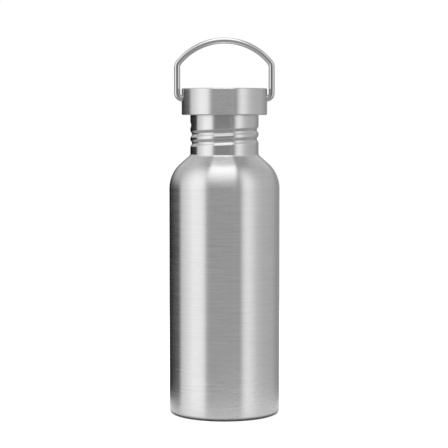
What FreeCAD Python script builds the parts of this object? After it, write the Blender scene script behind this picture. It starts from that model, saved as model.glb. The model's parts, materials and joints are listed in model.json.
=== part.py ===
import FreeCAD, Part
import math
import os

# Insulated stainless steel water bottle with a screw cap and a swinging wire handle.
#
# Frame: millimetres, +Z up, origin on the table at the centre of the base. The handle's legs stand on
# the X axis, and the bottle is seen from the front along +Y. Every sub-part is one named STEP file.
#
# A thin outer shell and a thin inner flask share one vacuum gap, and meet only at the foot of the neck.
# The neck is a single wall with a thread rolled into it, so its grooves show outside and stand proud
# inside, where they guide the thread of the cap's plug.

# --- driving dimensions -----------------------------------------------------------------------------

BODY_RADIUS = 36.5            # outside of the outer shell
STEEL = 0.4                   # wall of both shells
VACUUM_GAP = 3.0              # between the two shells, along the straight body

SHOULDER_Z = 149.7            # top of the straight body
SHOULDER_RADIUS = 22.2        # profile radius of the shoulder
SHOULDER_SLOPE = 41.0         # cone above that arc, in degrees from horizontal
WELD_FILLET = 3.5             # hollow where the shoulder runs into the neck
WELD_SLOPE = 70.0             # slope at which that hollow meets the neck

NECK_RADIUS = 22.6            # outside of the neck
NECK_WALL = 0.6               # leaves a 44 mm mouth
RIM_Z = 201.8                 # top of the rolled lip
LIP_RADIUS = 1.2              # outside radius of the lip's curl

THREAD_LEAD = 6.0             # rise of the thread in one turn
THREAD_Z = 185.5              # height of the groove on the -X side, one turn below its top end
GROOVE_DEPTH = 1.1
GROOVE_WIDTH = 3.5
GROOVE_START = -270.0         # degrees round from the -X side groove at THREAD_Z is 180
GROOVE_END = 545.0

BASE_FILLET = 2.8
BASE_SEAM_Z = 5.0             # where the base cup is welded to the outer shell
FOOT_INNER_RADIUS = 30.0      # the bottle stands on the ring outside this
RECESS_RADIUS = 28.0
RECESS_Z = 2.6                # height of the recessed floor's underside
DIMPLE_RADIUS = 6.0
DIMPLE_Z = 3.9                # underside of the dimple round the pumping hole
DIMPLE_SLOPE = 1.0            # how far the dimple's side leans in
SHEET_SHIFT = 0.3             # radial shift of the sheet's inner side on its sloping parts
PUMP_HOLE_RADIUS = 1.3

FLASK_BOTTOM_Z = 8.6          # lowest point of the inner flask
FLASK_SEAM_Z = 15.0           # where the flask's base is welded to its wall
FLASK_CORNER = 4.5
DISH_RADIUS = 12.0            # flat raised centre of the flask's floor
DISH_Z = 9.8                  # its underside

CAP_RADIUS = 28.25
CAP_SHEET = 0.6               # wall of the cap's steel shell
CAP_BOTTOM_Z = 198.3
CAP_TOP_Z = 215.9
CAP_EDGE = 0.9                # outside radius of both edges of the cap
CAP_HEM = 1.65                # reach of the edge rolled in under the core

PLUG_RADIUS = 20.6            # root of the plug's thread
PLUG_BOTTOM_Z = 175.8
PLUG_THREAD_TUBE = 1.6        # radius of the round ridge that makes the plug's thread
PLUG_THREAD_HEIGHT = 1.1      # how far that ridge stands off the plug
PLUG_THREAD_START = 180.0     # degrees, counted like the groove's
PLUG_THREAD_END = 790.0
LINER_HEIGHT = 4.0
CORE_SKIRT_RADIUS = 25.6      # inside of the skirt that hangs round the lip
CORE_WALL_RADIUS = 20.6       # outside of the wall round the foam, above the flange
CORE_CAVITY_RADIUS = 18.6
CORE_FLOOR = 2.2
CORE_FLANGE = 2.2             # thickness of the flange over the seal
CORE_CHAMFER = 0.4            # clears the bends inside the cap's shell
LID_RADIUS = 19.7
LID_THICKNESS = 1.4
HOUSING_HALF_WIDTH = 6.2      # solid part of the core round each wire end
RIB_THICKNESS = 1.6
RIB_STEP = 30                 # degrees between the ribs

SEAL_THICKNESS = 2.5
SEAL_RADIUS = 25.2
SEAL_BORE_GAP = 0.15

WIRE_RADIUS = 2.0
PIVOT_Z = 209.1               # axis on which the handle swings
LEG_X = 31.2                  # centre line of each leg
FOOT_BEND = 3.5               # bend radii on the wire's centre line
CORNER_BEND = 5.5
ARCH_RADIUS = 39.0
CROWN_Z = 247.2               # centre line at the top of the arch
WIRE_END_X = 21.3
WIRE_END_CHAMFER = 0.5        # spreads the clip when the wire is pushed in
WIRE_HOLE_GAP = 0.25          # radial, in the cap's steel shell

BUSH_RADIUS = 3.5
BUSH_INNER_X = 23.5
BUSH_OUTER_X = 27.4
CLIP_RADIUS = 4.0
CLIP_THICKNESS = 0.6
CLIP_X = 22.7                 # outboard face of each clip's groove
CLIP_SLOT_GAP = 0.5           # room round the clip, so that it can spread
CLIP_MOUTH = 2.6
WIRE_GROOVE_DEPTH = 0.45

FOIL_THICKNESS = 0.1
FOIL_END_GAP = 2.0            # where the foil's two ends meet, and below and above it
GETTER_RADIUS = 4.5
GETTER_HEIGHT = 2.0
GETTER_SHEET = 0.3
GETTER_RIM_RADIUS = 8.0

TOUCH = 0.02                  # gap between pieces that lie on each other
FIT = 0.05                    # gap between moulded or pressed pieces that don't move
RUNNING_GAP = 0.05            # radial clearance between pieces that turn or slide together

V = FreeCAD.Vector
Z_AXIS = V(0, 0, 1)
X_AXIS = V(1, 0, 0)
ORIGIN = V(0, 0, 0)

# --- outlines ---------------------------------------------------------------------------------------


def polar(centre, radius, degrees):
    """The point (r, z) at an angle on a circle of the half-plane, counted from +r towards +z."""
    a = math.radians(degrees)
    return centre[0] + radius * math.cos(a), centre[1] + radius * math.sin(a)


class Outline:
    """A closed outline in the half-plane of radius and height, drawn from point to point."""

    SAME_POINT = 1e-7
    WIDEST_ARC = 170

    def __init__(self, start):
        self.first = self.last = start
        self.edges = []

    def line(self, *points):
        for p in points:
            if math.dist(p, self.last) > self.SAME_POINT:
                self.edges.append(Part.makeLine(V(self.last[0], 0, self.last[1]), V(p[0], 0, p[1])))
                self.last = p
        return self

    def arc(self, centre, radius, start, end):
        """An arc about a centre from one angle to another, after a line to its first point."""
        self.line(polar(centre, radius, start))
        pieces = max(1, math.ceil(abs(end - start) / self.WIDEST_ARC))
        for i in range(pieces):
            a = start + (end - start) * i / pieces
            b = start + (end - start) * (i + 1) / pieces
            middle, last = polar(centre, radius, (a + b) / 2), polar(centre, radius, b)
            points = [V(p[0], 0, p[1]) for p in (self.last, middle, last)]
            self.edges.append(Part.Arc(*points).toShape())
            self.last = last
        return self

    def turned(self):
        """The solid that the closed outline sweeps round Z."""
        self.line(self.first)
        face = Part.Face(Part.Wire(Part.__sortEdges__(self.edges)))
        return face.revolve(ORIGIN, Z_AXIS, 360)


def tube(outer, inner, low, high):
    """A plain ring round Z."""
    return Outline((inner, low)).line((outer, low), (outer, high), (inner, high)).turned()


def box(x, y, z):
    """A block from three (low, high) pairs."""
    corner = V(x[0], y[0], z[0])
    return Part.makeBox(x[1] - x[0], y[1] - y[0], z[1] - z[0], corner)


def rod_x(radius, low, high, z=PIVOT_Z):
    """A round bar along X at a height on the Z axis."""
    return Part.makeCylinder(radius, high - low, V(low, 0, z), X_AXIS)


def mirrored(shape):
    """The same piece on the other side, at -X."""
    return shape.mirror(ORIGIN, X_AXIS)


# --- the shoulder, shared by both shells ------------------------------------------------------------

SHOULDER_CENTRE = (BODY_RADIUS - SHOULDER_RADIUS, SHOULDER_Z)
CONE_NORMAL = 90.0 - SHOULDER_SLOPE   # direction square to the cone, in degrees above horizontal


def cone_height(radius, inset):
    """Height of the shoulder's cone at a radius, for a surface set in from the outside by inset."""
    r, z = polar(SHOULDER_CENTRE, SHOULDER_RADIUS - inset, CONE_NORMAL)
    return z + (r - radius) * math.tan(math.radians(SHOULDER_SLOPE))


def weld_hollow(inset):
    """Centre of the hollow at the foot of the neck: it touches the cone and ends on the neck."""
    turn = math.radians(SHOULDER_SLOPE)
    r = NECK_RADIUS + WELD_FILLET * math.sin(math.radians(WELD_SLOPE))
    touch = r - WELD_FILLET * math.sin(turn)
    return r, cone_height(touch, inset) + WELD_FILLET * math.cos(turn)


# --- bottle -----------------------------------------------------------------------------------------


def outer_shell():
    """Straight body and shoulder in one sheet, welded to the neck above and to the base cup below."""
    hollow = weld_hollow(0)
    inner_end = cone_height(NECK_RADIUS, STEEL)
    outline = Outline((BODY_RADIUS, BASE_SEAM_Z))
    outline.arc(SHOULDER_CENTRE, SHOULDER_RADIUS, 0, CONE_NORMAL)
    outline.arc(hollow, WELD_FILLET, 270 - SHOULDER_SLOPE, 270 - WELD_SLOPE)
    outline.line((NECK_RADIUS, inner_end))
    outline.arc(SHOULDER_CENTRE, SHOULDER_RADIUS - STEEL, CONE_NORMAL, 0)
    outline.line((BODY_RADIUS - STEEL, BASE_SEAM_Z))
    return outline.turned()


def outer_base():
    """Pressed cup: a rounded corner, a foot ring, and a recessed floor with a pumping hole."""
    low = (BODY_RADIUS - BASE_FILLET, BASE_FILLET)
    outline = Outline((BODY_RADIUS, BASE_SEAM_Z))
    outline.arc(low, BASE_FILLET, 0, -90)
    outline.line((FOOT_INNER_RADIUS, 0), (RECESS_RADIUS, RECESS_Z), (DIMPLE_RADIUS, RECESS_Z))
    outline.line((DIMPLE_RADIUS - DIMPLE_SLOPE, DIMPLE_Z), (PUMP_HOLE_RADIUS, DIMPLE_Z))
    outline.line((PUMP_HOLE_RADIUS, DIMPLE_Z + STEEL))
    outline.line((DIMPLE_RADIUS - DIMPLE_SLOPE + SHEET_SHIFT, DIMPLE_Z + STEEL))
    outline.line((DIMPLE_RADIUS + SHEET_SHIFT, RECESS_Z + STEEL))
    outline.line((RECESS_RADIUS + SHEET_SHIFT, RECESS_Z + STEEL), (FOOT_INNER_RADIUS + SHEET_SHIFT, STEEL))
    outline.arc(low, BASE_FILLET - STEEL, -90, 0)
    outline.line((BODY_RADIUS - STEEL, BASE_SEAM_Z))
    return outline.turned()


def base_cover():
    """Thin disc that hides the pumping hole inside the recess."""
    low, radius, edge = RECESS_Z - STEEL, RECESS_RADIUS - 0.7, 0.2
    outline = Outline((0, low)).line((radius - edge, low), (radius, low + edge), (radius, RECESS_Z))
    return outline.line((0, RECESS_Z)).turned()


def seal_bead():
    """Glass bead melted over the pumping hole once the gap has been emptied."""
    drop_radius, drop_height, cap_radius = 2.2, 1.2, 2.0
    ball = (drop_radius ** 2 + drop_height ** 2) / (2 * drop_height)
    drop = Part.makeSphere(ball, V(0, 0, DIMPLE_Z - drop_height + ball))
    below = drop.common(Part.makeCylinder(drop_radius + 1, DIMPLE_Z, ORIGIN))
    plug = Part.makeCylinder(PUMP_HOLE_RADIUS, STEEL, V(0, 0, DIMPLE_Z))
    above = Part.makeCylinder(cap_radius, STEEL, V(0, 0, DIMPLE_Z + STEEL))
    return below.fuse([plug, above]).removeSplitter()


def thread_path(radius, start, end, height_at_180):
    """Right-hand helix between two angles in degrees. It passes height_at_180 on the -X side."""
    turns = (end - start) / 360.0
    path = Part.makeHelix(THREAD_LEAD, THREAD_LEAD * turns, radius)
    path.rotate(ORIGIN, Z_AXIS, start)
    path.translate(V(0, 0, height_at_180 + THREAD_LEAD * (start - 180.0) / 360.0))
    return path


def thread_tube(tube_radius, radius, start, end, height_at_180):
    """Round bar along the helix. Its ball ends are a little fuller than the bar, so that they fuse well."""
    fuller = 1.004
    path = thread_path(radius, start, end, height_at_180)
    first, last = path.Vertexes[0].Point, path.Vertexes[-1].Point
    along = V(-first.y, first.x, 0)
    profile = Part.Wire(Part.makeCircle(tube_radius, first, along))
    bar = Part.Wire(path.Edges).makePipeShell([profile], True, True)
    balls = [Part.makeSphere(tube_radius * fuller, p) for p in (first, last)]
    return bar.fuse(balls)


def rolled_tubes():
    """The bars whose outsides are the groove's skin outside the neck and its ridge inside."""
    groove = (GROOVE_WIDTH ** 2 / 4 + GROOVE_DEPTH ** 2) / (2 * GROOVE_DEPTH)
    centre = NECK_RADIUS - GROOVE_DEPTH + groove
    helix = (centre, GROOVE_START, GROOVE_END, THREAD_Z)
    return thread_tube(groove, *helix), thread_tube(groove + NECK_WALL, *helix)


def inner_flask():
    """Wall, shoulder and neck of the flask in one sheet, with the rolled thread and a curled lip."""
    inset = STEEL + VACUUM_GAP
    bore = NECK_RADIUS - NECK_WALL
    lip = (NECK_RADIUS + LIP_RADIUS - NECK_WALL, RIM_Z - LIP_RADIUS)
    wall = BODY_RADIUS - inset
    outline = Outline((wall, FLASK_SEAM_Z))
    outline.arc(SHOULDER_CENTRE, SHOULDER_RADIUS - inset, 0, CONE_NORMAL)
    outline.line((NECK_RADIUS, cone_height(NECK_RADIUS, inset)))
    outline.arc(lip, LIP_RADIUS - NECK_WALL, 180, -90)
    outline.arc(lip, LIP_RADIUS, -90, 180)
    outline.line((bore, cone_height(bore, inset + STEEL)))
    outline.arc(SHOULDER_CENTRE, SHOULDER_RADIUS - inset - STEEL, CONE_NORMAL, 0)
    outline.line((wall - STEEL, FLASK_SEAM_Z))
    groove, ridge = rolled_tubes()
    mid_wall = Part.makeCylinder(NECK_RADIUS - NECK_WALL / 2, RIM_Z)
    return outline.turned().fuse(ridge.common(mid_wall)).cut(groove)


def inner_base():
    """Dished floor of the flask, with its edge turned up to meet the flask's wall."""
    wall = BODY_RADIUS - STEEL - VACUUM_GAP
    corner = (wall - FLASK_CORNER, FLASK_BOTTOM_Z + FLASK_CORNER)
    outline = Outline((wall, FLASK_SEAM_Z))
    outline.arc(corner, FLASK_CORNER, 0, -90)
    outline.line((DISH_RADIUS, DISH_Z), (0, DISH_Z))
    outline.line((0, DISH_Z + STEEL), (DISH_RADIUS, DISH_Z + STEEL))
    outline.arc(corner, FLASK_CORNER - STEEL, -90, 0)
    outline.line((wall - STEEL, FLASK_SEAM_Z))
    return outline.turned()


def copper_foil():
    """Bright foil wrapped round the flask inside the vacuum, with a narrow slit where its ends meet."""
    inner = BODY_RADIUS - STEEL - VACUUM_GAP + FIT
    wrap = tube(inner + FOIL_THICKNESS, inner, FLASK_SEAM_Z + FOIL_END_GAP, SHOULDER_Z - FOIL_END_GAP)
    half = FOIL_END_GAP / 2
    return wrap.cut(box((-half, half), (inner - 1, inner + 1), (0, SHOULDER_Z)))


def getter_tablet():
    """Pressed tablet that soaks up the last gas in the vacuum gap."""
    return Part.makeCylinder(GETTER_RADIUS, GETTER_HEIGHT, V(0, 0, DISH_Z - GETTER_SHEET - GETTER_HEIGHT))


def getter_holder():
    """Thin steel cup that holds the tablet, open in the middle, with its rim welded to the flask."""
    top, wall, opening = DISH_Z, GETTER_RADIUS + 0.1, GETTER_RADIUS - 1.0
    floor = top - 2 * GETTER_SHEET - GETTER_HEIGHT
    outline = Outline((opening, floor)).line((wall + GETTER_SHEET, floor))
    outline.line((wall + GETTER_SHEET, top - GETTER_SHEET), (GETTER_RIM_RADIUS, top - GETTER_SHEET))
    outline.line((GETTER_RIM_RADIUS, top), (wall, top), (wall, floor + GETTER_SHEET))
    return outline.line((opening, floor + GETTER_SHEET)).turned()


# --- cap --------------------------------------------------------------------------------------------

CORE_RADIUS = CAP_RADIUS - CAP_SHEET - FIT
CORE_FOOT_Z = CAP_BOTTOM_Z + CAP_SHEET + FIT
CORE_TOP_Z = CAP_TOP_Z - CAP_SHEET - FIT
SEAL_TOP_Z = RIM_Z + SEAL_THICKNESS
FLANGE_TOP_Z = SEAL_TOP_Z + CORE_FLANGE
LINER_TOP_Z = PLUG_BOTTOM_Z + LINER_HEIGHT
CAVITY_FLOOR_Z = PLUG_BOTTOM_Z + STEEL + FIT + CORE_FLOOR
LID_Z = CORE_TOP_Z - LID_THICKNESS


def cap_shell():
    """Deep-drawn steel cup, open below, whose edge is rolled in under the core."""
    bend = CAP_EDGE - CAP_SHEET
    top = (CAP_RADIUS - CAP_EDGE, CAP_TOP_Z - CAP_EDGE)
    foot = (CAP_RADIUS - CAP_EDGE, CAP_BOTTOM_Z + CAP_EDGE)
    hem = CAP_RADIUS - CAP_HEM
    outline = Outline((0, CAP_TOP_Z))
    outline.arc(top, CAP_EDGE, 90, 0)
    outline.arc(foot, CAP_EDGE, 0, -90)
    outline.line((hem, CAP_BOTTOM_Z), (hem, CAP_BOTTOM_Z + CAP_SHEET))
    outline.arc(foot, bend, -90, 0)
    outline.arc(top, bend, 0, 90)
    outline.line((0, CAP_TOP_Z - CAP_SHEET))
    holes = rod_x(WIRE_RADIUS + WIRE_HOLE_GAP, -CAP_RADIUS - 1, CAP_RADIUS + 1)
    return outline.turned().cut(holes)


def handle_pocket():
    """Room in the core for one wire end, its bush and its clip, open to the top for assembly."""
    start, bush_half, clip_half = BUSH_INNER_X - TOUCH, BUSH_RADIUS + TOUCH, CLIP_RADIUS + CLIP_SLOT_GAP
    bush = rod_x(bush_half, start, CAP_RADIUS)
    bush_slot = box((start, CAP_RADIUS), (-bush_half, bush_half), (PIVOT_Z, CAP_TOP_Z))
    clip_reach = (WIRE_END_X - CLIP_SLOT_GAP, BUSH_INNER_X)
    clip_slot = box(clip_reach, (-clip_half, clip_half), (PIVOT_Z - CLIP_RADIUS - TOUCH, CAP_TOP_Z))
    return bush.fuse([bush_slot, clip_slot])


def core_hollows():
    """The ring round the foam chamber, less the ribs and the two solid housings of the wire ends."""
    across = (-CAP_RADIUS, CAP_RADIUS)
    up = (FLANGE_TOP_Z - 1, CAP_TOP_Z)
    kept = [box(across, (-HOUSING_HALF_WIDTH, HOUSING_HALF_WIDTH), up)]
    for angle in range(RIB_STEP, 180, RIB_STEP):
        rib = box(across, (-RIB_THICKNESS / 2, RIB_THICKNESS / 2), up)
        rib.rotate(ORIGIN, Z_AXIS, angle)
        kept.append(rib)
    return tube(CORE_SKIRT_RADIUS, CORE_WALL_RADIUS, FLANGE_TOP_Z, CAP_TOP_Z).cut(kept)


def plug_thread():
    """Rounded ridge that stands off the plug, half a lead away from the ridges inside the neck."""
    radius = PLUG_RADIUS + PLUG_THREAD_HEIGHT - PLUG_THREAD_TUBE
    height = THREAD_Z - THREAD_LEAD / 2
    bar = thread_tube(PLUG_THREAD_TUBE, radius, PLUG_THREAD_START, PLUG_THREAD_END, height)
    return bar.common(tube(NECK_RADIUS, PLUG_RADIUS - FIT - STEEL, PLUG_BOTTOM_Z, SEAL_TOP_Z))


def cap_core():
    """Moulded core: flange, skirt and hollow threaded plug, cored out between ribs."""
    nose, nose_z = PLUG_RADIUS - STEEL - FIT, PLUG_BOTTOM_Z + STEEL + FIT
    outline = Outline((0, nose_z))
    outline.line((nose - CORE_CHAMFER, nose_z), (nose, nose_z + CORE_CHAMFER), (nose, LINER_TOP_Z))
    outline.line((PLUG_RADIUS, LINER_TOP_Z), (PLUG_RADIUS, SEAL_TOP_Z), (CORE_SKIRT_RADIUS, SEAL_TOP_Z))
    outline.line((CORE_SKIRT_RADIUS, CORE_FOOT_Z), (CORE_RADIUS - CORE_CHAMFER, CORE_FOOT_Z))
    outline.line((CORE_RADIUS, CORE_FOOT_Z + CORE_CHAMFER), (CORE_RADIUS, CORE_TOP_Z - CORE_CHAMFER))
    outline.line((CORE_RADIUS - CORE_CHAMFER, CORE_TOP_Z), (LID_RADIUS, CORE_TOP_Z), (LID_RADIUS, LID_Z))
    outline.line((CORE_CAVITY_RADIUS, LID_Z), (CORE_CAVITY_RADIUS, CAVITY_FLOOR_Z), (0, CAVITY_FLOOR_Z))
    pocket = handle_pocket()
    core = outline.turned().cut([core_hollows(), pocket, mirrored(pocket)])
    return core.fuse(plug_thread())


def core_lid():
    """Disc let into the top of the core, which shuts the foam in."""
    return Part.makeCylinder(LID_RADIUS - FIT, LID_THICKNESS - TOUCH, V(0, 0, LID_Z + TOUCH))


def plug_liner():
    """Steel cup over the end of the plug, so that the drink touches only steel and silicone."""
    edge = 0.8
    top = LINER_TOP_Z - FIT
    inner_edge = edge - STEEL
    corner = (PLUG_RADIUS - edge, PLUG_BOTTOM_Z + edge)
    outline = Outline((0, PLUG_BOTTOM_Z))
    outline.arc(corner, edge, -90, 0)
    outline.line((PLUG_RADIUS, top), (PLUG_RADIUS - STEEL, top))
    outline.arc(corner, inner_edge, 0, -90)
    return outline.line((0, PLUG_BOTTOM_Z + STEEL)).turned()


def cap_insulation():
    """Foam puck that fills the plug's chamber."""
    edge = 1.0
    low, high, radius = CAVITY_FLOOR_Z + TOUCH, LID_Z - FIT, CORE_CAVITY_RADIUS - FIT
    outline = Outline((0, low)).line((radius - edge, low), (radius, low + edge), (radius, high - edge))
    return outline.line((radius - edge, high), (0, high)).turned()


def cap_seal():
    """Silicone ring under the core's flange, which the lip of the neck presses on."""
    edge = 0.5
    low, high, inner = RIM_Z + TOUCH, SEAL_TOP_Z - TOUCH, PLUG_RADIUS + SEAL_BORE_GAP
    outline = Outline((inner, low)).line((SEAL_RADIUS - edge, low), (SEAL_RADIUS, low + edge))
    return outline.line((SEAL_RADIUS, high), (inner, high)).turned()


def handle_bush():
    """Nylon sleeve in the core that carries one end of the wire."""
    sleeve = rod_x(BUSH_RADIUS, BUSH_INNER_X, BUSH_OUTER_X)
    return sleeve.cut(rod_x(WIRE_RADIUS + RUNNING_GAP, BUSH_INNER_X - 1, BUSH_OUTER_X + 1))


# --- handle -----------------------------------------------------------------------------------------


def wire_path():
    """Centre line of the handle: inward end, leg, corner and arch, then the same mirrored."""
    corner = (LEG_X - CORNER_BEND, 0.0)
    arch_z = CROWN_Z - ARCH_RADIUS
    reach = ARCH_RADIUS - CORNER_BEND
    corner_z = arch_z + math.sqrt(reach ** 2 - corner[0] ** 2)
    joint = math.degrees(math.atan2(corner_z - arch_z, corner[0]))

    def at(centre, radius, degrees):
        r, z = polar(centre, radius, degrees)
        return V(r, 0, z)

    def bend(centre, radius, start, end):
        middle = (start + end) / 2
        return Part.Arc(*[at(centre, radius, a) for a in (start, middle, end)]).toShape()

    foot_centre = (LEG_X - FOOT_BEND, PIVOT_Z + FOOT_BEND)
    corner_centre = (corner[0], corner_z)
    end, elbow = V(WIRE_END_X, 0, PIVOT_Z), V(foot_centre[0], 0, PIVOT_Z)
    leg_low, leg_high = V(LEG_X, 0, foot_centre[1]), V(LEG_X, 0, corner_z)
    right = [
        Part.makeLine(end, elbow),
        bend(foot_centre, FOOT_BEND, -90, 0),
        Part.makeLine(leg_low, leg_high),
        bend(corner_centre, CORNER_BEND, 0, joint),
    ]
    arch = bend((0, arch_z), ARCH_RADIUS, joint, 180 - joint)
    left = [e.mirror(ORIGIN, X_AXIS) for e in reversed(right)]
    return Part.Wire(Part.__sortEdges__(right + [arch] + left))


def handle_wire():
    """One bent steel wire with a chamfered tip and a groove for a clip near each end."""
    profile = Part.Wire(Part.makeCircle(WIRE_RADIUS, V(WIRE_END_X, 0, PIVOT_Z), X_AXIS))
    wire = wire_path().makePipeShell([profile], True, False)
    groove = rod_x(WIRE_RADIUS + 1, CLIP_X - CLIP_THICKNESS - FIT, CLIP_X)
    groove = groove.cut(rod_x(WIRE_RADIUS - WIRE_GROOVE_DEPTH, 0, LEG_X))
    tip = rod_x(WIRE_RADIUS + 1, WIRE_END_X, WIRE_END_X + WIRE_END_CHAMFER)
    cone = Part.makeCone(WIRE_RADIUS - WIRE_END_CHAMFER, WIRE_RADIUS, WIRE_END_CHAMFER,
                         V(WIRE_END_X, 0, PIVOT_Z), X_AXIS)
    tip = tip.cut(cone)
    return wire.cut([groove, mirrored(groove), tip, mirrored(tip)])


def handle_clip():
    """Open spring ring in the wire's groove, which keeps the wire from pulling out of its bush."""
    low = CLIP_X - CLIP_THICKNESS - TOUCH
    ring = rod_x(CLIP_RADIUS, low, low + CLIP_THICKNESS)
    ring = ring.cut(rod_x(WIRE_RADIUS - WIRE_GROOVE_DEPTH + TOUCH, low - 1, low + 2))
    half = CLIP_MOUTH / 2
    mouth = box((low - 1, low + 2), (-half, half), (PIVOT_Z - CLIP_RADIUS - 1, PIVOT_Z))
    return ring.cut(mouth)


# --- export -----------------------------------------------------------------------------------------

PIECES = {
    "outer_shell": outer_shell,
    "outer_base": outer_base,
    "base_cover": base_cover,
    "vacuum_seal_bead": seal_bead,
    "inner_flask": inner_flask,
    "inner_base": inner_base,
    "copper_foil": copper_foil,
    "getter_tablet": getter_tablet,
    "getter_holder": getter_holder,
    "cap_shell": cap_shell,
    "cap_core": cap_core,
    "core_lid": core_lid,
    "plug_liner": plug_liner,
    "cap_insulation": cap_insulation,
    "cap_seal": cap_seal,
    "handle_wire": handle_wire,
}


def main():
    os.makedirs("parts", exist_ok=True)
    shapes = {name: make() for name, make in PIECES.items()}
    for name, make in (("handle_bush", handle_bush), ("handle_clip", handle_clip)):
        shapes[name + "_right"] = make()
        shapes[name + "_left"] = mirrored(shapes[name + "_right"])
    for name, shape in shapes.items():
        shape.exportStep(f"parts/{name}.step")


main()
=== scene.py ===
import json
import math

import bpy
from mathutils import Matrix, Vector


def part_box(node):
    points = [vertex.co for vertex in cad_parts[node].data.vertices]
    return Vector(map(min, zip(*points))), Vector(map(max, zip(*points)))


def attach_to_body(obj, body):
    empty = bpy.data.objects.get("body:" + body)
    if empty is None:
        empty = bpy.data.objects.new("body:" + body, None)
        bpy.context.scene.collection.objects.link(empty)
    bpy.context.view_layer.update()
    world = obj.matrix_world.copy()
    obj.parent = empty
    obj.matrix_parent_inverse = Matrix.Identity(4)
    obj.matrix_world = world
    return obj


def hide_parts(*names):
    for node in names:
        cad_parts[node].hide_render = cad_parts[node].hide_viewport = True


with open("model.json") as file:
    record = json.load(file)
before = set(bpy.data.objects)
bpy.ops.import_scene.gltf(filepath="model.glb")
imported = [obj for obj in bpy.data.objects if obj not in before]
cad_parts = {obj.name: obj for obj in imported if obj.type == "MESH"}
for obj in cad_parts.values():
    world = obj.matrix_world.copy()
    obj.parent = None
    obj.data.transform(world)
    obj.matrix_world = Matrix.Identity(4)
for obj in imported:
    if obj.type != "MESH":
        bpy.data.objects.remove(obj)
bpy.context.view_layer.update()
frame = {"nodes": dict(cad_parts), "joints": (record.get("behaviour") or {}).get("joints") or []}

# Insulated steel bottle with a screw cap and a wire handle. Everything is in metres, +Z up, front at -Y.
# The visible metal is turned and swept here as fine meshes that follow the CAD parts. The parts inside
# the bottle and the cap keep their CAD meshes and get their materials here.

MM = 0.001

# --- sizes, from the frame where a box gives them ---------------------------------------------------

SHELL_LOW, SHELL_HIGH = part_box("outer_shell")
FLASK_LOW, FLASK_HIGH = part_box("inner_flask")
CAP_LOW, CAP_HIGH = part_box("cap_shell")
WIRE_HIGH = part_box("handle_wire")[1]
JOINTS = {joint["name"]: joint for joint in frame["joints"]}

STEEL = 0.4 * MM
BODY_RADIUS = round(SHELL_HIGH[0], 4)
SEAM_Z = SHELL_LOW[2]                  # base cup welded to the shell
SHOULDER_Z = 149.7 * MM
SHOULDER_RADIUS = 22.2 * MM
SHOULDER_SLOPE = 41.0                  # degrees of the cone from level
MARK_Z = SHOULDER_Z + 1.6 * MM         # deeper brush marks at the foot of the shoulder
WELD_FILLET = 3.5 * MM
WELD_SLOPE = 70.0
VACUUM_GAP = 3.0 * MM

NECK_RADIUS = 22.6 * MM
NECK_WALL = 0.6 * MM
RIM_Z = FLASK_HIGH[2]
LIP_RADIUS = 1.2 * MM
THREAD_LEAD = 6.0 * MM
THREAD_Z = 185.5 * MM                  # groove on the -X side, one turn below its top end
GROOVE_DEPTH = 1.1 * MM
GROOVE_WIDTH = 5.2 * MM
GROOVE_START = -270.0                  # degrees round the neck, counted on from turn to turn
GROOVE_END = 545.0
GROOVE_FADE = 30.0                     # degrees over which each end runs out, half of them past the end

BASE_FILLET = 2.8 * MM
FOOT_INNER_RADIUS = 30.0 * MM
FOOT_EDGE = 0.6 * MM
RECESS_RADIUS = 28.0 * MM
RECESS_Z = 2.6 * MM

CAP_RADIUS = round(CAP_HIGH[0], 5)
CAP_BOTTOM_Z = CAP_LOW[2]
CAP_TOP_Z = CAP_HIGH[2]
CAP_SHEET = 0.6 * MM
CAP_EDGE = 0.9 * MM
CAP_HEM = 1.65 * MM                    # width of the edge that is rolled in

WIRE_RADIUS = round(WIRE_HIGH[1], 5)
PIVOT_Z = JOINTS["handle_swing"]["pos_m"][2]
LEG_X = WIRE_HIGH[0] - WIRE_RADIUS
FOOT_BEND = 3.5 * MM
CORNER_BEND = 5.5 * MM
ARCH_RADIUS = 39.0 * MM
CROWN_Z = WIRE_HIGH[2] - WIRE_RADIUS
WIRE_END_X = 21.3 * MM
WIRE_HOLE_RADIUS = WIRE_RADIUS + 0.25 * MM
HOLE_MARGIN = 1.2 * MM                 # from a wire hole to the edge of its patch

ROUND_STEPS = 256                      # faces round a turned piece
ARC_STEP = 4.0                         # degrees between points of a profile's arc
WALL_ROWS = 24                         # faces up the straight body
TOP_ROWS = 12                          # faces across the cap's flat top
NECK_ROWS = 130                        # faces up the neck
SLOPE_STEP = 0.02 * MM                 # step over which the slope of the rolled thread is measured
WIRE_SIDES = 40                        # faces round the wire
FOOT_ROWS, CORNER_ROWS, ARCH_ROWS = 24, 20, 48    # faces along each bend of the wire
HOLE_COLUMNS = 5                       # half the columns of the cap's wall that a hole's patch takes
HOLE_ROWS = 10                         # faces up the patch
HOLE_RINGS = (0, 0.35, 0.7, 1)         # places of its rings, from the edge of the patch to the hole


# --- turned pieces ----------------------------------------------------------------------------------


def polar(centre, radius, degrees):
    """The point (r, z) at an angle on a circle of the half-plane, counted from +r towards +z."""
    a = math.radians(degrees)
    return centre[0] + radius * math.cos(a), centre[1] + radius * math.sin(a)


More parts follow.
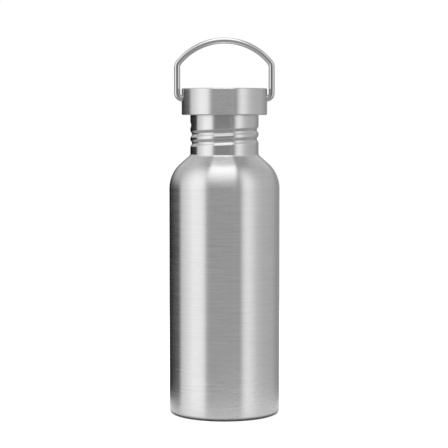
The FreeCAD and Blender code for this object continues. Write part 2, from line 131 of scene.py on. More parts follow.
class Profile:
    """A path in the half-plane of radius and height, with the solid on the left of its direction.

    Each step keeps the true surface normal at both of its ends, so that a turned piece reflects as the
    real curve does, however long or short its faces are."""

    def __init__(self, start):
        self.last = start
        self.steps = []

    def line(self, *points):
        for point in points:
            dr, dz = point[0] - self.last[0], point[1] - self.last[1]
            length = math.hypot(dr, dz)
            if length > 1e-8:
                normal = (dz / length, -dr / length)
                self.steps.append((self.last, point, normal, normal))
                self.last = point
        return self

    def jump(self, point):
        """Goes on from another point, and leaves a gap."""
        self.last = point
        return self

    def arc(self, centre, radius, start, end):
        self.line(polar(centre, radius, start))
        side = 1 if end > start else -1
        count = max(2, math.ceil(abs(end - start) / ARC_STEP))
        for i in range(count):
            a = start + (end - start) * i / count
            b = start + (end - start) * (i + 1) / count
            normals = [polar((0, 0), side, angle) for angle in (a, b)]
            point = polar(centre, radius, b)
            self.steps.append((self.last, point, *normals))
            self.last = point
        return self


class Surface:
    """Gathers faces whose corners are (point, normal) pairs. Corners in one place share one vertex."""

    def __init__(self):
        self.verts, self.faces, self.normals = [], [], []
        self.index = {}

    def face(self, corners):
        kept = {}
        for point, normal in corners:
            key = tuple(round(c, 7) for c in point)
            if key not in self.index:
                self.index[key] = len(self.verts)
                self.verts.append(point)
            kept.setdefault(self.index[key], normal)
        if len(kept) > 2:
            self.faces.append(list(kept))
            self.normals.extend(kept.values())

    def skin(self, *rings):
        """Joins closed rings of corners, each to the next one."""
        for low, high in zip(rings, rings[1:]):
            for i in range(len(low)):
                j = (i + 1) % len(low)
                self.face([low[i], low[j], high[j], high[i]])
        return self

    def turn(self, profile, steps=ROUND_STEPS):
        """Turns a profile round Z."""
        for p, q, p_normal, q_normal in profile.steps:
            self.skin(*[[round_corner(r, z, n, 360.0 * i / steps) for i in range(steps)]
                        for (r, z), n in ((p, p_normal), (q, q_normal))])
        return self

    def piece(self, name, material):
        """The finished smooth object."""
        mesh = bpy.data.meshes.new(name)
        mesh.from_pydata(self.verts, [], self.faces)
        mesh.polygons.foreach_set("use_smooth", [True] * len(self.faces))
        mesh.normals_split_custom_set(self.normals)
        mesh.materials.append(material)
        piece = bpy.data.objects.new(name, mesh)
        bpy.context.scene.collection.objects.link(piece)
        return piece


def round_corner(r, z, normal, degrees):
    """A corner at an angle round Z, whose normal is given along the radius and the height."""
    a = math.radians(degrees)
    point = (r * math.cos(a), r * math.sin(a), z)
    return point, (normal[0] * math.cos(a), normal[0] * math.sin(a), normal[1])


# --- the shoulder, shared by both shells ------------------------------------------------------------

SHOULDER_CENTRE = (BODY_RADIUS - SHOULDER_RADIUS, SHOULDER_Z)
CONE_NORMAL = 90.0 - SHOULDER_SLOPE


def cone_height(radius, inset):
    """Height of the shoulder's cone at a radius, for a surface set in from the outside by inset."""
    r, z = polar(SHOULDER_CENTRE, SHOULDER_RADIUS - inset, CONE_NORMAL)
    return z + (r - radius) * math.tan(math.radians(SHOULDER_SLOPE))


def weld_hollow():
    """Centre of the hollow at the foot of the neck: it touches the cone and ends on the neck."""
    turn = math.radians(SHOULDER_SLOPE)
    r = NECK_RADIUS + WELD_FILLET * math.sin(math.radians(WELD_SLOPE))
    touch = r - WELD_FILLET * math.sin(turn)
    return r, cone_height(touch, 0) + WELD_FILLET * math.cos(turn)


def shell_profile():
    hollow = weld_hollow()
    profile = Profile((BODY_RADIUS - STEEL, SEAM_Z)).line((BODY_RADIUS, SEAM_Z))
    wall = SHOULDER_Z - SEAM_Z
    profile.line(*[(BODY_RADIUS, SEAM_Z + wall * i / WALL_ROWS) for i in range(1, WALL_ROWS + 1)])
    profile.arc(SHOULDER_CENTRE, SHOULDER_RADIUS, 0, CONE_NORMAL)
    profile.arc(hollow, WELD_FILLET, 270 - SHOULDER_SLOPE, 270 - WELD_SLOPE)
    profile.line((NECK_RADIUS, cone_height(NECK_RADIUS, STEEL)))
    profile.arc(SHOULDER_CENTRE, SHOULDER_RADIUS - STEEL, CONE_NORMAL, 0)
    return profile.line((BODY_RADIUS - STEEL, SEAM_Z))


def base_profile():
    """The pressed base cup, without the dimple that its cover hides."""
    low = (BODY_RADIUS - BASE_FILLET, BASE_FILLET)
    foot = (FOOT_INNER_RADIUS + FOOT_EDGE, FOOT_EDGE)
    profile = Profile((0, RECESS_Z)).line((RECESS_RADIUS, RECESS_Z), (FOOT_INNER_RADIUS, FOOT_EDGE))
    profile.arc(foot, FOOT_EDGE, 180, 270)
    profile.arc(low, BASE_FILLET, -90, 0)
    profile.line((BODY_RADIUS, SEAM_Z), (BODY_RADIUS - STEEL, SEAM_Z))
    profile.arc(low, BASE_FILLET - STEEL, 0, -90)
    profile.line((FOOT_INNER_RADIUS + 2 * FOOT_EDGE, STEEL), (RECESS_RADIUS + FOOT_EDGE, RECESS_Z + STEEL))
    return profile.line((0, RECESS_Z + STEEL))


# --- neck -------------------------------------------------------------------------------------------


def smooth(t):
    """Eases from 0 to 1."""
    t = min(1.0, max(0.0, t))
    return t * t * (3 - 2 * t)


def groove(angle, z):
    """Depth of the rolled thread at an angle in degrees and a height."""
    depth = 0.0
    for turn in range(-2, 3):          # every pass of the thread that can reach this angle
        along = angle + 360 * turn
        left = min(along - GROOVE_START, GROOVE_END - along) + GROOVE_FADE / 2
        away = abs(z - THREAD_Z - THREAD_LEAD * (along - 180) / 360)
        if left > 0 and away < GROOVE_WIDTH / 2:
            across = 0.5 + 0.5 * math.cos(2 * math.pi * away / GROOVE_WIDTH)
            depth = max(depth, GROOVE_DEPTH * across * smooth(left / GROOVE_FADE))
    return depth


def neck_corner(radius, degrees, z, side):
    """A corner of the neck's wall. side is 1 outside and -1 inside."""
    step, turn = SLOPE_STEP, math.degrees(SLOPE_STEP / radius)
    rise = (groove(degrees, z + step) - groove(degrees, z - step)) / (2 * step)
    lean = (groove(degrees + turn, z) - groove(degrees - turn, z)) / (2 * step)
    normal = Vector((1, lean, rise)).normalized() * side
    a = math.radians(degrees)
    r = radius - groove(degrees, z)
    return (r * math.cos(a), r * math.sin(a), z), (normal.x * math.cos(a) - normal.y * math.sin(a),
                                                   normal.x * math.sin(a) + normal.y * math.cos(a), normal.z)


def neck_walls():
    """The neck's outside and inside with the rolled thread, from the foot to the start of the lip."""
    foot, top = cone_height(NECK_RADIUS, VACUUM_GAP + STEEL), RIM_Z - LIP_RADIUS
    surface = Surface()
    for radius, side in ((NECK_RADIUS, 1), (NECK_RADIUS - NECK_WALL, -1)):
        rings = []
        for row in range(NECK_ROWS + 1):
            z = foot + (top - foot) * row / NECK_ROWS
            rings.append([neck_corner(radius, 360.0 * i / ROUND_STEPS, z, side) for i in range(ROUND_STEPS)])
        surface.skin(*rings[::side])
    return surface


def lip_profile():
    """The curl at the mouth."""
    lip = (NECK_RADIUS + LIP_RADIUS - NECK_WALL, RIM_Z - LIP_RADIUS)
    profile = Profile((NECK_RADIUS, lip[1])).arc(lip, LIP_RADIUS - NECK_WALL, 180, -90)
    return profile.arc(lip, LIP_RADIUS, -90, 180)


def flask_profile():
    """The flask's wall and shoulder below the neck."""
    inset = STEEL + VACUUM_GAP
    wall, bore = BODY_RADIUS - inset, NECK_RADIUS - NECK_WALL
    low = FLASK_LOW[2]
    profile = Profile((wall, low)).arc(SHOULDER_CENTRE, SHOULDER_RADIUS - inset, 0, CONE_NORMAL)
    profile.line((NECK_RADIUS, cone_height(NECK_RADIUS, inset)))
    profile.line((bore, cone_height(NECK_RADIUS, inset)))
    profile.line((bore, cone_height(bore, inset + STEEL)))
    profile.arc(SHOULDER_CENTRE, SHOULDER_RADIUS - inset - STEEL, CONE_NORMAL, 0)
    return profile.line((wall - STEEL, low), (wall, low))


# --- cap --------------------------------------------------------------------------------------------


def cap_profile():
    """The cap's steel shell without its straight wall: open below, with its edge rolled in."""
    bend = CAP_EDGE - CAP_SHEET
    top = (CAP_RADIUS - CAP_EDGE, CAP_TOP_Z - CAP_EDGE)
    foot = (CAP_RADIUS - CAP_EDGE, CAP_BOTTOM_Z + CAP_EDGE)
    hem = CAP_RADIUS - CAP_HEM
    profile = Profile((hem, CAP_BOTTOM_Z + CAP_SHEET)).line((hem, CAP_BOTTOM_Z))
    profile.arc(foot, CAP_EDGE, -90, 0)
    profile.jump((CAP_RADIUS, top[1])).arc(top, CAP_EDGE, 0, 90)
    profile.line(*[(top[0] * (1 - i / TOP_ROWS), CAP_TOP_Z) for i in range(1, TOP_ROWS + 1)])
    profile.line((0, CAP_TOP_Z - CAP_SHEET))
    profile.arc(top, bend, 90, 0)
    profile.jump((CAP_RADIUS - CAP_SHEET, foot[1])).arc(foot, bend, 0, -90)
    return profile.line((hem, CAP_BOTTOM_Z + CAP_SHEET))


def hole_ring(radius, half_turn, outline, share):
    """Corners round one wire hole, a share of the way from the outline of its patch to the hole."""
    ring = []
    for y, z in outline:
        reach = math.hypot(y, z - PIVOT_Z)
        hole = (y * WIRE_HOLE_RADIUS / reach, PIVOT_Z + (z - PIVOT_Z) * WIRE_HOLE_RADIUS / reach)
        across = y + (hole[0] - y) * share
        up = z + (hole[1] - z) * share
        ring.append(round_corner(radius, up, (1, 0), half_turn + math.degrees(math.asin(across / radius))))
    return ring


def wall_with_holes(surface, radius, side):
    """The cap's straight wall with both wire holes. Returns the corners round each hole's edge."""
    low, high = CAP_BOTTOM_Z + CAP_EDGE, CAP_TOP_Z - CAP_EDGE
    half = WIRE_HOLE_RADIUS + HOLE_MARGIN
    patch = [PIVOT_Z - half + 2 * half * i / HOLE_ROWS for i in range(HOLE_ROWS + 1)]
    levels = [low, *patch, high]
    columns = range(-HOLE_COLUMNS, ROUND_STEPS - HOLE_COLUMNS)
    half_round = ROUND_STEPS // 2

    def corner(column, z):
        return round_corner(radius, z, (side, 0), 360.0 * column / ROUND_STEPS)

    for z, next_z in zip(levels, levels[1:]):
        for column in columns:
            beside = (column + HOLE_COLUMNS) % half_round >= 2 * HOLE_COLUMNS
            if beside or z not in patch[:-1]:
                spots = ((column, z), (column + 1, z), (column + 1, next_z), (column, next_z))
                surface.face([corner(*spot) for spot in spots][::side])

    steps = range(-HOLE_COLUMNS, HOLE_COLUMNS + 1)
    sides = [radius * math.sin(2 * math.pi * i / ROUND_STEPS) for i in steps]
    outline = [(y, patch[0]) for y in sides] + [(sides[-1], z) for z in patch[1:-1]]
    outline += [(y, patch[-1]) for y in sides[::-1]] + [(sides[0], z) for z in patch[-2:0:-1]]
    edges = []
    for half_turn in (0, 180):
        rings = [hole_ring(radius, half_turn, outline, share) for share in HOLE_RINGS]
        rings = [[(point, (n[0] * side, n[1] * side, n[2])) for point, n in ring] for ring in rings]
        surface.skin(*rings[::side])
        edges.append([point for point, _ in rings[-1]])
    return edges


def cap_surface():
    """The whole shell of the cap, with the thickness of the sheet showing in each wire hole."""
    surface = Surface().turn(cap_profile())
    outer = wall_with_holes(surface, CAP_RADIUS, 1)
    inner = wall_with_holes(surface, CAP_RADIUS - CAP_SHEET, -1)
    for rims in zip(outer, inner):
        rings = []
        for rim in rims:
            rings.append([(p, Vector((0, -p[1], PIVOT_Z - p[2])).normalized()) for p in rim])
        surface.skin(*rings)
    return surface


# --- handle -----------------------------------------------------------------------------------------


def wire_stations():
    """Points along the right half of the handle with the direction of the wire, both in the XZ plane."""
    arch_z = CROWN_Z - ARCH_RADIUS
    reach = ARCH_RADIUS - CORNER_BEND
    corner_x = LEG_X - CORNER_BEND
    corner_z = arch_z + math.sqrt(reach ** 2 - corner_x ** 2)
    joint = math.degrees(math.atan2(corner_z - arch_z, corner_x))
    foot = (LEG_X - FOOT_BEND, PIVOT_Z + FOOT_BEND)
    arcs = [(foot, FOOT_BEND, -90, 0, FOOT_ROWS),
            ((corner_x, corner_z), CORNER_BEND, 0, joint, CORNER_ROWS),
            ((0, arch_z), ARCH_RADIUS, joint, 90, ARCH_ROWS)]
    stations = [((WIRE_END_X, PIVOT_Z), 0.0)]
    for centre, radius, start, end, count in arcs:
        for i in range(count + 1):
            degrees = start + (end - start) * i / count
            stations.append((polar(centre, radius, degrees), degrees + 90))
    return stations


def wire_surface():
    """The whole handle: the right half from end to crown, then its mirror image back down."""
    right = wire_stations()
    left = [((-p[0], p[1]), 360 - d) for p, d in reversed(right[:-1])]
    rings = []
    for (x, z), degrees in right + left:
        d = math.radians(degrees)
        across = Vector((math.sin(d), 0, -math.cos(d)))
        ring = []
        for i in range(WIRE_SIDES):
            a = 2 * math.pi * i / WIRE_SIDES
            normal = across * math.cos(a) + Vector((0, 1, 0)) * math.sin(a)
            ring.append((Vector((x, 0, z)) + normal * WIRE_RADIUS, normal))
        rings.append(ring)
    surface = Surface().skin(*rings)
    surface.face([(point, (-1, 0, 0)) for point, _ in rings[0][::-1]])
    surface.face([(point, (1, 0, 0)) for point, _ in rings[-1]])
    return surface


# --- materials --------------------------------------------------------------------------------------


class Shader:
    """A small helper round a node tree: plain calls in, sockets out."""

    def __init__(self, tree):
        self.tree = tree
        tree.nodes.clear()

    def node(self, kind, inputs=None, **settings):
        node = self.tree.nodes.new(kind)
        for key, value in settings.items():
            setattr(node, key, value)
        for key, value in (inputs or {}).items():
            self.put(node.inputs[key], value)
        return node

    def put(self, socket, value):
        if isinstance(value, bpy.types.NodeSocket):
            self.tree.links.new(value, socket)
        elif value is not None:
            socket.default_value = value

    def math(self, operation, a, b=None, c=None):
        node = self.node("ShaderNodeMath", operation=operation)
        for socket, value in zip(node.inputs, (a, b, c)):
            self.put(socket, value)
        return node.outputs[0]

    def noise(self, vector, scale, detail=3.0, roughness=0.55):
        inputs = {"Vector": vector, "Scale": scale, "Detail": detail, "Roughness": roughness}
        return self.node("ShaderNodeTexNoise", inputs).outputs["Fac"]

    def ease(self, value, low, high):
        """Rises smoothly from 0 at low to 1 at high. low may be the larger one."""
        inputs = {"Value": value, "From Min": low, "From Max": high}
        return self.node("ShaderNodeMapRange", inputs, interpolation_type="SMOOTHSTEP").outputs[0]

    def remap(self, value, low, high, out_low, out_high):
        """A straight line from (low, out_low) to (high, out_high), level outside them."""
        inputs = {"Value": value, "From Min": low, "From Max": high, "To Min": out_low, "To Max": out_high}
        return self.node("ShaderNodeMapRange", inputs).outputs[0]

    def blend(self, factor, a, b):
        """A number between two numbers."""
        return self.node("ShaderNodeMix", {"Factor": factor, "A": a, "B": b}).outputs[0]

    def mix(self, factor, a, b):
        """A colour between two colours."""
        node = self.node("ShaderNodeMix", data_type="RGBA")
        self.put(node.inputs["Factor"], factor)
        self.put(node.inputs["A"], a)
        self.put(node.inputs["B"], b)
        return node.outputs["Result"]

    def vector(self, x, y, z):
        return self.node("ShaderNodeCombineXYZ", {"X": x, "Y": y, "Z": z}).outputs[0]

    def bump(self, height, distance, strength):
        inputs = {"Height": height, "Distance": distance, "Strength": strength}
        return self.node("ShaderNodeBump", inputs).outputs[0]

    def place(self):
        """The point on the object, in metres."""
        return self.node("ShaderNodeTexCoord").outputs["Object"]

    def parts(self, vector):
        return self.node("ShaderNodeSeparateXYZ", {"Vector": vector}).outputs

    def distance(self, x, y):
        return self.math("SQRT", self.math("ADD", self.math("MULTIPLY", x, x), self.math("MULTIPLY", y, y)))

    def is_seen(self):
        """1 where the camera sees a thing itself, and 0 in reflections and for its light."""
        return self.node("ShaderNodeLightPath").outputs["Is Camera Ray"]

    def either(self, factor, a, b):
        """A shader between two shaders."""
        node = self.node("ShaderNodeMixShader")
        for socket, value in zip(node.inputs, (factor, a, b)):
            self.put(socket, value)
        return node.outputs[0]

    def finish(self, shader, kind="Material"):
        self.put(self.node("ShaderNodeOutput" + kind).inputs["Surface"], shader)

    def surface(self, **inputs):
        """The finished surface. Base_Color stands for the input called Base Color, and so on."""
        names = {key.replace("_", " "): value for key, value in inputs.items()}
        self.finish(self.node("ShaderNodeBsdfPrincipled", names).outputs[0])


def grey(value):
    return (value, value, value, 1.0)


def new_material(name):
    material = bpy.data.materials.new(name)
    material.use_nodes = True
    return material, Shader(material.node_tree)


def round_coordinates(s):
    """The unit vector round the axis, and a length in metres that grows along a turned piece's profile."""
    x, y, z = s.parts(s.place())
    r = s.distance(x, y)
    safe = s.math("MAXIMUM", r, 0.01 * MM)
    return s.math("DIVIDE", x, safe), s.math("DIVIDE", y, safe), s.math("SUBTRACT", z, r)


BRUSH_REACH = 2.2                      # how often scratches begin and end on the way round
FINE_PITCH, BROAD_PITCH = 2200.0, 700.0    # scratches to a metre
FINE_SHARE = 0.6
BRUSH_DEPTH = 0.012 * MM
BRUSH_STRENGTH = 0.3
BRUSH_TINT = 0.05                      # how much brighter or darker than the steel a scratch can be
MARK_REACH = 2.2 * MM                  # fade of the deeper scratches above and below mark_z
MARK_DEPTH = 3.5                       # how much deeper they are


def brushed_steel(name, base=0.62, roughness=0.26, anisotropy=0.98, streak=1.0, mark_z=None):
    """Steel brushed round its axis: long fine scratches that spread highlights across their own length.

    streak is how strong they are. The brush can leave deeper ones round one height, mark_z."""
    material, s = new_material(name)
    cx, cy, along = round_coordinates(s)

    def scratches(reach, pitch, detail, gain):
        vector = s.vector(s.math("MULTIPLY", cx, reach), s.math("MULTIPLY", cy, reach),
                          s.math("MULTIPLY", along, pitch))
        return s.noise(vector, 1.0, detail, gain)

    fine = scratches(BRUSH_REACH, FINE_PITCH, 4.0, 0.7)
    broad = scratches(BRUSH_REACH / 2, BROAD_PITCH, 2.0, 0.5)
    patch = s.noise(s.place(), 22.0, 2.0, 0.5)
    lines = s.math("ADD", s.math("MULTIPLY", fine, FINE_SHARE), s.math("MULTIPLY", broad, 1 - FINE_SHARE))
    spread = BRUSH_TINT * streak
    tint = s.mix(s.remap(lines, 0.3, 0.7, 0.0, 1.0), grey(base - spread), grey(base + spread))
    height = lines
    if mark_z is not None:
        z = s.parts(s.place())[2]
        mark = s.ease(s.math("ABSOLUTE", s.math("SUBTRACT", z, mark_z)), MARK_REACH, 0.0)
        height = s.math("MULTIPLY", lines, s.math("MULTIPLY_ADD", mark, MARK_DEPTH, 1.0))
    rough = s.math("ADD", s.remap(lines, 0.3, 0.7, roughness - 0.03, roughness + 0.03),
                   s.remap(patch, 0.3, 0.7, -0.015, 0.015))
    tangent = s.node("ShaderNodeTangent", direction_type="RADIAL", axis="Z").outputs[0]
    s.surface(Base_Color=tint, Metallic=1.0, Roughness=rough, Anisotropic=anisotropy,
              Anisotropic_Rotation=0.25, Tangent=tangent,
              Normal=s.bump(height, BRUSH_DEPTH, BRUSH_STRENGTH * streak))
    return material


def drawn_wire():
    """Polished wire with faint draw lines along its length."""
    material, s = new_material("drawn_wire")
    x, y, z = s.parts(s.place())
    across, along = 2600.0, 60.0       # draw lines to a metre, across the wire and along it
    lines = s.noise(s.vector(s.math("MULTIPLY", x, along), s.math("MULTIPLY", y, across),
                             s.math("MULTIPLY", z, along)), 1.0, 3.0, 0.6)
    patch = s.noise(s.place(), 90.0, 2.0, 0.5)
    rough = s.math("ADD", s.remap(lines, 0.3, 0.7, 0.08, 0.12), s.remap(patch, 0.3, 0.7, -0.01, 0.02))
    tint = s.mix(lines, grey(0.53), grey(0.61))
    s.surface(Base_Color=tint, Metallic=1.0, Roughness=rough, Normal=s.bump(lines, 0.01 * MM, 0.4))
    return material


def satin_steel(name, base=0.6, roughness=0.24):
    """Electropolished steel: bright, with the faint orange peel of the bath."""
    material, s = new_material(name)
    place = s.place()
    peel = s.noise(place, 900.0, 3.0, 0.5)
    patch = s.noise(place, 40.0, 2.0, 0.5)
    tint = s.mix(patch, grey(base - 0.03), grey(base + 0.03))
    rough = s.remap(patch, 0.3, 0.7, roughness - 0.03, roughness + 0.04)
    s.surface(Base_Color=tint, Metallic=1.0, Roughness=rough, Normal=s.bump(peel, 0.02 * MM, 0.35))
    return material


def moulded_plastic(name, colour, roughness=0.5):
    """Moulded polymer with a fine spark-eroded texture and a slight change of tone."""
    material, s = new_material(name)
    place = s.place()
    grain = s.noise(place, 3200.0, 2.0, 0.6)
    flow = s.noise(place, 60.0, 3.0, 0.5)
    light = [min(1.0, c * 1.25 + 0.01) for c in colour]
    tint = s.mix(flow, (*colour, 1.0), (*light, 1.0))
    s.surface(Base_Color=tint, Roughness=s.remap(grain, 0.3, 0.7, roughness - 0.06, roughness + 0.08),
              Normal=s.bump(grain, 0.03 * MM, 0.4))
    return material


def silicone():
    """Soft, slightly translucent white rubber."""
    material, s = new_material("silicone")
    place = s.place()
    cloud = s.noise(place, 120.0, 3.0, 0.5)
    skin = s.noise(place, 2500.0, 2.0, 0.5)
    tint = s.mix(cloud, (0.74, 0.74, 0.71, 1.0), (0.84, 0.84, 0.81, 1.0))
    s.surface(Base_Color=tint, Roughness=s.remap(skin, 0.3, 0.7, 0.42, 0.55), Subsurface_Weight=0.3,
              Subsurface_Scale=1.5 * MM, Normal=s.bump(skin, 0.02 * MM, 0.3))
    return material


def copper_foil():
    """Bright copper foil with the creases of wrapping and a faint stain."""
    material, s = new_material("copper_foil")
    place = s.place()
    creases = s.noise(place, 140.0, 5.0, 0.6)
    stain = s.noise(place, 30.0, 3.0, 0.5)
    tint = s.mix(stain, (0.9, 0.5, 0.34, 1.0), (0.96, 0.64, 0.5, 1.0))
    s.surface(Base_Color=tint, Metallic=1.0, Roughness=s.remap(stain, 0.3, 0.7, 0.14, 0.26),
              Normal=s.bump(creases, 0.4 * MM, 0.5))
    return material


def foam():
    """Rigid cream foam with fine open cells."""
    material, s = new_material("foam")
    place = s.place()
    cells = s.node("ShaderNodeTexVoronoi", {"Vector": place, "Scale": 1400.0}).outputs["Distance"]
    tone = s.noise(place, 90.0, 3.0, 0.5)
    tint = s.mix(tone, (0.8, 0.72, 0.52, 1.0), (0.9, 0.84, 0.68, 1.0))
    s.surface(Base_Color=tint, Roughness=0.9, Normal=s.bump(cells, 0.2 * MM, 0.7))
    return material


def sintered():
    """Dark pressed metal powder."""
    material, s = new_material("getter_tablet_powder")
    place = s.place()
    grains = s.noise(place, 5000.0, 4.0, 0.7)
    tint = s.mix(grains, grey(0.07), grey(0.2))
    s.surface(Base_Color=tint, Metallic=0.6, Roughness=s.remap(grains, 0.3, 0.7, 0.55, 0.8),
              Normal=s.bump(grains, 0.05 * MM, 0.8))
    return material


def fused_glass():
    """A drop of solder glass with small bubbles."""
    material, s = new_material("fused_glass")
    place = s.place()
    bubbles = s.node("ShaderNodeTexVoronoi", {"Vector": place, "Scale": 1800.0}).outputs["Distance"]
    tint = s.mix(s.noise(place, 400.0), (0.5, 0.56, 0.52, 1.0), (0.62, 0.68, 0.64, 1.0))
    s.surface(Base_Color=tint, Roughness=0.12, Transmission_Weight=0.7, IOR=1.5,
              Normal=s.bump(bubbles, 0.05 * MM, 0.3))
    return material


# --- studio -----------------------------------------------------------------------------------------

# Brightness of the studio's walls by direction, in degrees round the bottle from the camera: left is
# negative. A tall softbox stands on the left and a smaller one on the right, in front of pale walls.
WALLS = [(-180, 0.4), (-150, 0.5), (-125, 0.66), (-108, 0.78), (-88, 1.12), (-68, 1.5), (-50, 1.46),
         (-44, 1.28), (-37, 0.66), (-32, 0.59), (30, 0.59), (34, 0.64), (41, 1.14), (50, 1.34),
         (60, 1.14), (72, 0.84), (88, 0.7), (119, 0.62), (136, 0.46), (150, 0.38), (180, 0.4)]
WALL_SCALE = 1.6                       # a colour ramp holds numbers up to 1, so it holds light / WALL_SCALE
WALL_FOOT = (-14.0, 0.0)               # elevations between which the walls reach their full light
WALL_FOOT_LIGHT = 0.92
CEILING = 0.38                         # over the walls, to the sides and behind
FLAG_LIGHT = 0.01                      # the black flag behind the left softbox
FLAG_SIDES = (-186.0, -166.0, -113.0, -99.0)    # start, full, still full and end, round the bottle
FLAG_TOP = (1.0, 14.0)
FLAG_FOOT = (-30.0, -9.0)
BACKDROP = 0.75                        # behind the bottle, over the height of the flags
BACKDROP_SIDE = (120.0, 150.0)
BACKDROP_FOOT = (12.0, 22.0)
GAP_SIDES = (-38.0, -34.0, 31.0, 35.0)    # the dark gap under the overhead panel, round the camera
GAP_LIGHT = 0.38
GAP_FOOT = (-8.0, -3.0)
GAP_TOP = (40.0, 20.0)
GAP_WIDENING = 0.002                   # share by which the walls widen with each degree of elevation
CEILING_START, CEILING_FULL = 40.0, 75.0
GROUND_START, GROUND_FULL = -14.0, -36.0
GROUND_LIGHT = 0.46                    # everything low down, where the floor has faded out
PANEL_FOOT = 0.12                      # light of the overhead panel at the horizon
PANEL_LIGHT = 2.05                     # and how much it gains towards the zenith
PANEL_POWER = 1.5
PANEL_SOFT = 0.04                      # half the width of its soft edge
PANEL_HORIZON = (-0.02, 0.03)
PANEL_EDGES = ((1, 0.34, 0.56), (-1, 0.27, 0.31), (0, 0.35, 1))    # left, right and far: see edge()


def studio_light(s):
    """Brightness of the studio in every direction. Elevations are in degrees above the horizon."""
    x, y, z = s.parts(s.node("ShaderNodeTexCoord").outputs["Generated"])
    front = s.math("MULTIPLY", y, -1.0)
    azimuth = s.math("DEGREES", s.math("ARCTAN2", x, front))
    elevation = s.math("DEGREES", s.math("ARCSINE", z))

    def between(sides):
        rise = s.ease(azimuth, sides[0], sides[1])
        return s.math("MULTIPLY", rise, s.ease(azimuth, sides[3], sides[2]))

    narrowing = s.math("MULTIPLY_ADD", s.math("MAXIMUM", elevation, 0.0), -GAP_WIDENING, 1.0)
    share = s.remap(s.math("MULTIPLY", azimuth, narrowing), -180, 180, 0, 1)
    ramp = s.node("ShaderNodeValToRGB", {"Fac": share})
    stops = ramp.color_ramp.elements
    while len(stops) > 1:
        stops.remove(stops[-1])
    for i, (degrees, value) in enumerate(WALLS):
        stop = stops[0] if i == 0 else stops.new((degrees + 180) / 360)
        stop.position = (degrees + 180) / 360
        stop.color = grey(value / WALL_SCALE)
    walls = s.math("MULTIPLY", ramp.outputs["Color"], WALL_SCALE)
    walls = s.math("MULTIPLY", walls, s.remap(elevation, *WALL_FOOT, WALL_FOOT_LIGHT, 1.0))
    behind = s.ease(s.math("ABSOLUTE", azimuth), *BACKDROP_SIDE)
    walls = s.blend(s.math("MULTIPLY", behind, s.ease(elevation, *BACKDROP_FOOT)), walls, BACKDROP)
    light = s.blend(s.ease(elevation, CEILING_START, CEILING_FULL), walls, CEILING)

    gap = s.math("MULTIPLY", between(GAP_SIDES), s.ease(elevation, *GAP_FOOT))
    light = s.blend(s.math("MULTIPLY", gap, s.ease(elevation, *GAP_TOP)), light, GAP_LIGHT)
    light = s.blend(s.ease(elevation, GROUND_START, GROUND_FULL), light, GROUND_LIGHT)
    flag = s.math("MULTIPLY", between(FLAG_SIDES), s.ease(elevation, FLAG_TOP[1], FLAG_TOP[0]))
    light = s.blend(s.math("MULTIPLY", flag, s.ease(elevation, *FLAG_FOOT)), light, FLAG_LIGHT)

    # the overhead panel: it widens towards the camera, and its light falls off towards the horizon
    def edge(across, up, forward):
        """1 inside one edge of the panel and 0 outside. The edge is a plane through the eye."""
        away = s.math("MULTIPLY_ADD", z, up, s.math("MULTIPLY", front, forward))
        return s.ease(s.math("MULTIPLY_ADD", x, across, away), -PANEL_SOFT, PANEL_SOFT)

    panel = s.ease(z, *PANEL_HORIZON)
    for plane in PANEL_EDGES:
        panel = s.math("MULTIPLY", panel, edge(*plane))
    height = s.math("POWER", s.math("MAXIMUM", z, 0.0), PANEL_POWER)
    return s.blend(panel, light, s.math("MULTIPLY_ADD", height, PANEL_LIGHT, PANEL_FOOT))


def studio_world():
    """The studio lights the bottle and shows in the metal, and the camera sees plain white behind it."""
    world = bpy.data.worlds.new("studio")
    bpy.context.scene.world = world
    world.use_nodes = True
    s = Shader(world.node_tree)
    studio = s.node("ShaderNodeBackground", {"Color": studio_light(s), "Strength": 1.0}).outputs[0]
    white = s.node("ShaderNodeBackground", {"Color": grey(1.0), "Strength": 1.0}).outputs[0]
    s.finish(s.either(s.is_seen(), studio, white), "World")


FLOOR_RADIUS = 1.2
FLOOR_TONE = 0.85
FLOOR_GLOW = 0.25                      # light of its own, as the metal mirrors it
FLOOR_GLOW_SEEN = 0.5                  # and as the camera sees it
FLOOR_SEEN = (0.35, 0.7)               # distances between which the camera loses it
FLOOR_MIRRORED = (0.045, 0.1)          # and between which it leaves the metal's reflections
FLOOR_SHADOW = (0.034, 0.044)          # painted contact shadow: in reflections and in its light the floor is black under the bottle, with full tone and glow beyond


def pale_floor():
    """A white sweep that fades into the background, and into the studio where metal reflects it."""
    material, s = new_material("pale_floor")
    place = s.place()
    x, y, _ = s.parts(place)
    r = s.distance(x, y)
    seen = s.is_seen()
    mottle = s.noise(place, 30.0, 2.0, 0.5)
    # painted contact shadow: away from the camera, the floor's colour and glow go dark near the bottle
    open_floor = s.ease(r, *FLOOR_SHADOW)
    tone = s.math("MULTIPLY", s.remap(mottle, 0.3, 0.7, FLOOR_TONE - 0.01, FLOOR_TONE + 0.01),
                  s.math("MAXIMUM", seen, open_floor))
    matt = s.node("ShaderNodeBsdfDiffuse", {"Color": s.vector(tone, tone, tone)})
    glow = s.blend(seen, s.math("MULTIPLY", open_floor, FLOOR_GLOW), FLOOR_GLOW_SEEN)
    light = s.node("ShaderNodeEmission", {"Color": grey(1.0), "Strength": glow})
    lit = s.node("ShaderNodeAddShader")
    s.put(lit.inputs[0], matt.outputs[0])
    s.put(lit.inputs[1], light.outputs[0])
    clear = s.node("ShaderNodeBsdfTransparent").outputs[0]
    gone = s.blend(seen, s.ease(r, *FLOOR_MIRRORED), s.ease(r, *FLOOR_SEEN))
    s.finish(s.either(gone, lit.outputs[0], clear))
    bpy.ops.mesh.primitive_circle_add(vertices=96, radius=FLOOR_RADIUS, fill_type="NGON")
    floor = bpy.context.object
    floor.name = "floor"
    floor.data.materials.append(material)


CAMERA_DISTANCE = 1.084
CAMERA_X = -0.3 * MM
CAMERA_HEIGHT = 0.203
CAMERA_PITCH = 4.06                    # degrees that it looks down
SENSOR = 36.0                          # in mm, as the lens
LENS = 131.5


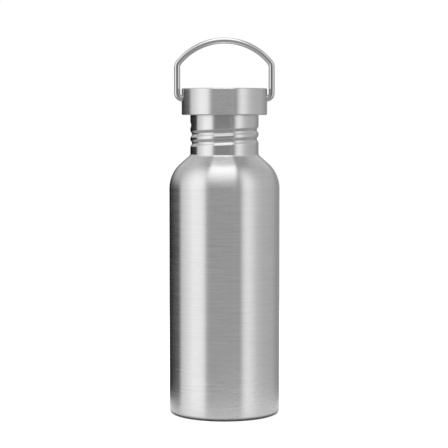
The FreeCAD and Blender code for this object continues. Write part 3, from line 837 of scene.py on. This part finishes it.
def camera():
    data = bpy.data.cameras.new("camera")
    data.sensor_width = SENSOR
    data.lens = LENS
    eye = bpy.data.objects.new("camera", data)
    eye.location = (CAMERA_X, -CAMERA_DISTANCE, CAMERA_HEIGHT)
    eye.rotation_euler = (math.radians(90 - CAMERA_PITCH), 0, 0)
    bpy.context.scene.collection.objects.link(eye)
    bpy.context.scene.camera = eye


# --- the object -------------------------------------------------------------------------------------


def attach(piece, body, slot, *nodes):
    """Rides a piece on its body, and lets it stand for CAD nodes."""
    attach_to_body(piece, body)
    if nodes:
        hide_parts(*nodes)


def finish_cad_node(name, material):
    node = frame["nodes"][name]
    node.data.materials.clear()
    node.data.materials.append(material)


def build():
    body_steel = brushed_steel("body_steel", mark_z=MARK_Z)
    cap_steel = brushed_steel("cap_steel", streak=0.75)
    neck_steel = brushed_steel("neck_steel", base=0.58, roughness=0.18, anisotropy=0.93, streak=0.5)
    flask_steel = satin_steel("flask_steel")
    turned_pieces = [
        ("outer_shell_brushed", shell_profile(), body_steel, "body_steel", "outer_shell"),
        ("outer_base_brushed", base_profile(), body_steel, "body_steel", "outer_base"),
        ("neck_lip", lip_profile(), neck_steel, "flask_steel"),
        ("flask_wall", flask_profile(), flask_steel, "flask_steel"),
    ]
    for name, profile, material, slot, *nodes in turned_pieces:
        attach(Surface().turn(profile).piece(name, material), "bottle", slot, *nodes)
    attach(neck_walls().piece("neck_rolled", neck_steel), "bottle", "flask_steel", "inner_flask")
    attach(cap_surface().piece("cap_shell_brushed", cap_steel), "cap", "cap_steel", "cap_shell")
    attach(wire_surface().piece("handle_wire_drawn", drawn_wire()), "handle", "wire_steel", "handle_wire")

    core = moulded_plastic("core_plastic", (0.74, 0.74, 0.72))
    nylon = moulded_plastic("bush_nylon", (0.72, 0.7, 0.65), 0.4)
    spring = satin_steel("spring_steel", 0.42, 0.3)
    cad_finishes = {
        "base_cover": brushed_steel("base_steel"),
        "inner_base": flask_steel,
        "plug_liner": satin_steel("liner_steel"),
        "cap_core": core,
        "core_lid": core,
        "cap_insulation": foam(),
        "cap_seal": silicone(),
        "copper_foil": copper_foil(),
        "getter_tablet": sintered(),
        "getter_holder": spring,
        "vacuum_seal_bead": fused_glass(),
        "handle_bush_left": nylon,
        "handle_bush_right": nylon,
        "handle_clip_left": spring,
        "handle_clip_right": spring,
    }
    for name, material in cad_finishes.items():
        finish_cad_node(name, material)


build()
pale_floor()
studio_world()
camera()
bpy.context.scene.view_settings.view_transform = "Standard"
